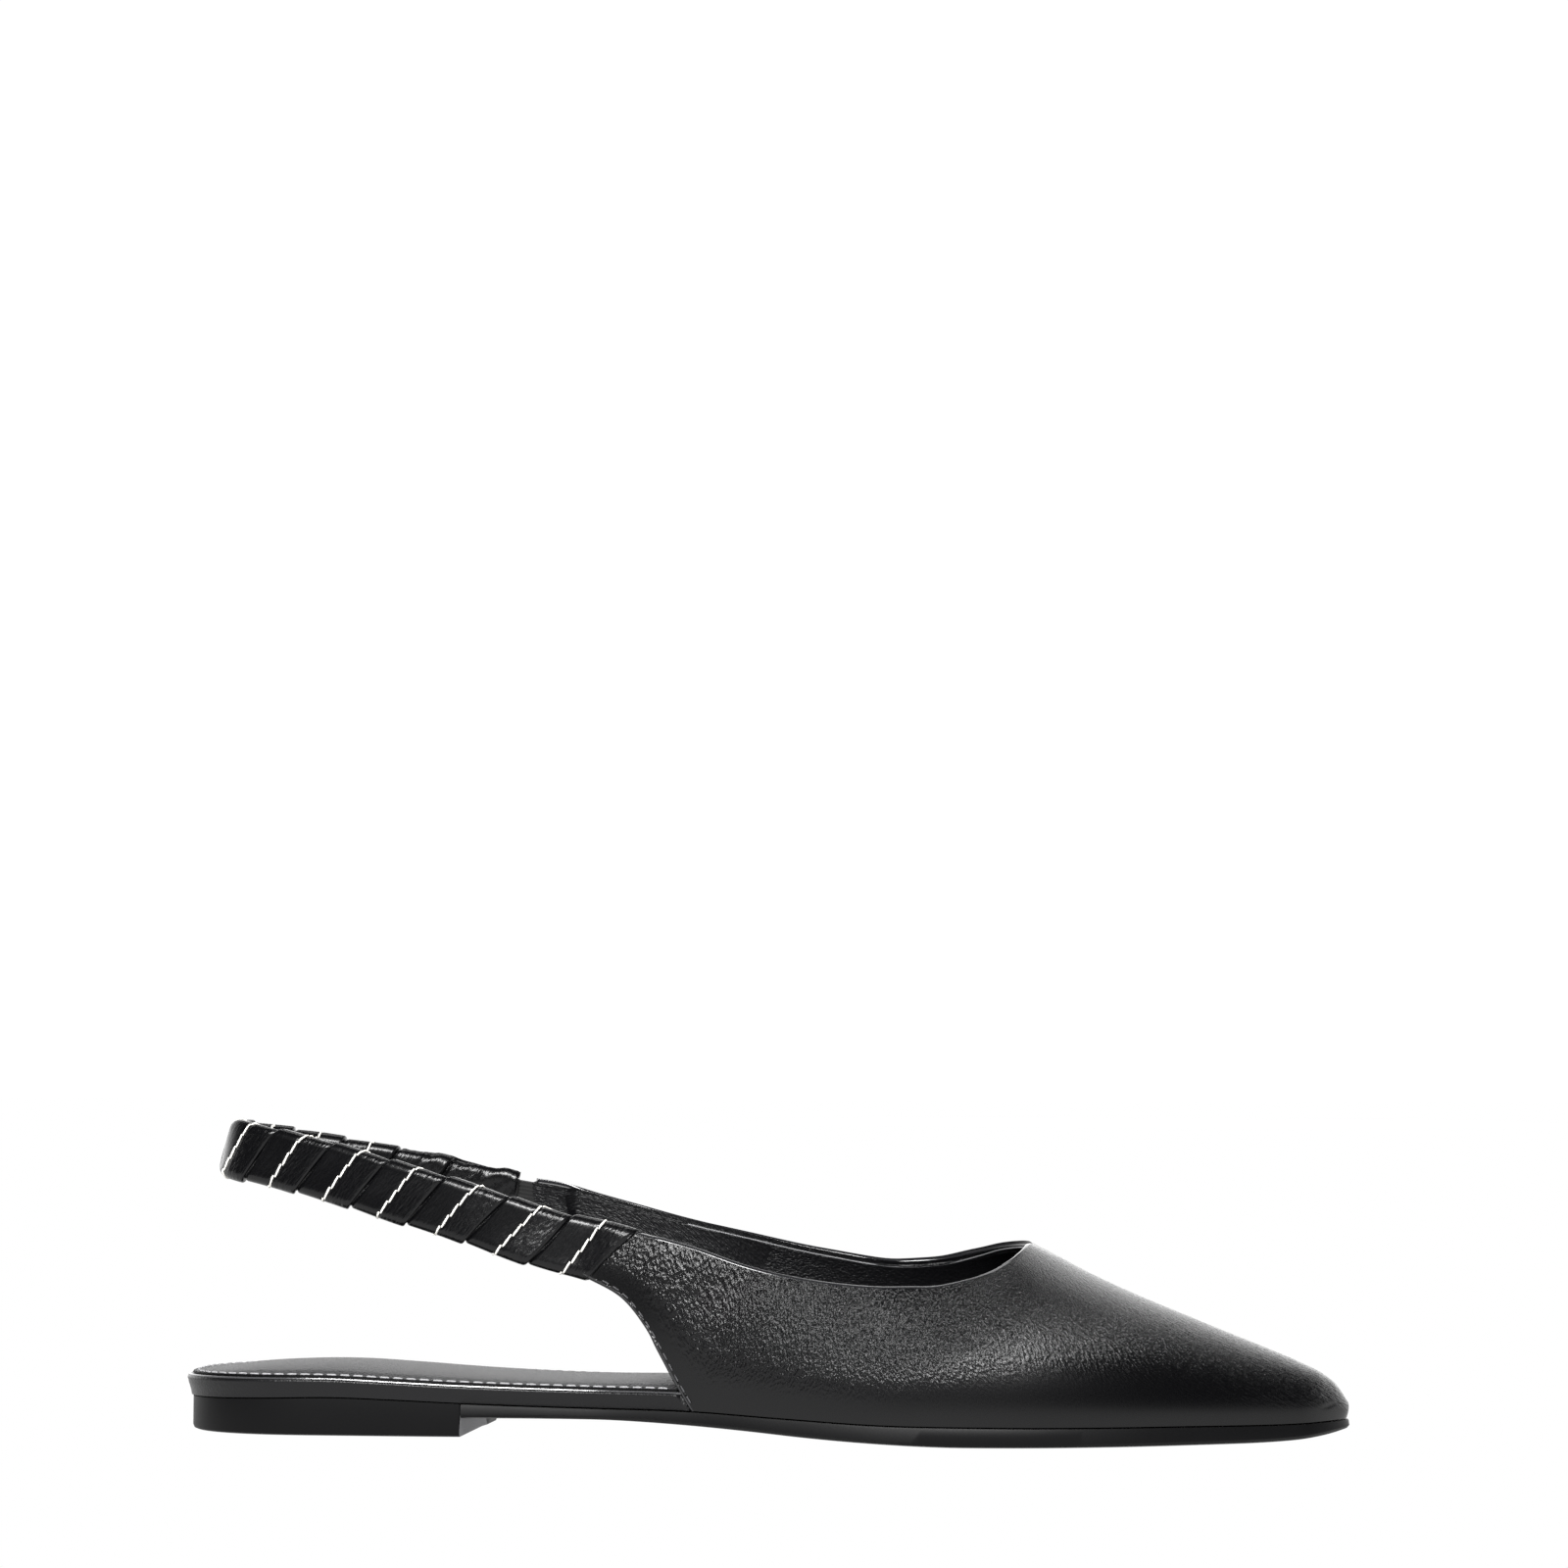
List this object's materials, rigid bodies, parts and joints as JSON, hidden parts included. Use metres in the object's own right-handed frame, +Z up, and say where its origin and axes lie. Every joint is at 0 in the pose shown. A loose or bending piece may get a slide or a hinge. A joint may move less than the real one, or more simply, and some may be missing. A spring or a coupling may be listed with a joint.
{
  "type": "ballet flat",
  "caption": "Right pointed-toe slingback ballet flat in smooth leather, with a padded sock, a leather-wound elastic sling and a low block heel.",
  "frame": {"origin": "on the floor, at the middle of the heel block's flat bottom", "axes": "+X from the heel to the toe, +Y to the medial (inner) side of the right foot, +Z up"},
  "size_m": [0.266, 0.0777, 0.0708],
  "materials": {
    "outsole": "moulded satin black",
    "footbed": "fine grain, matt black",
    "insole_sock": "soft grain, dark grey",
    "upper": "smooth black with a soft sheen",
    "sling_elastic": "woven black elastic",
    "sling_wrap": "wrinkled black with a soft sheen"
  },
  "bodies": {
    "root": {"outsole": "outsole", "footbed": "footbed", "insole_sock": "insole_sock", "upper": "upper", "sling_elastic": "sling_elastic", "sling_wrap": "sling_wrap"}
  },
  "joints": []
}
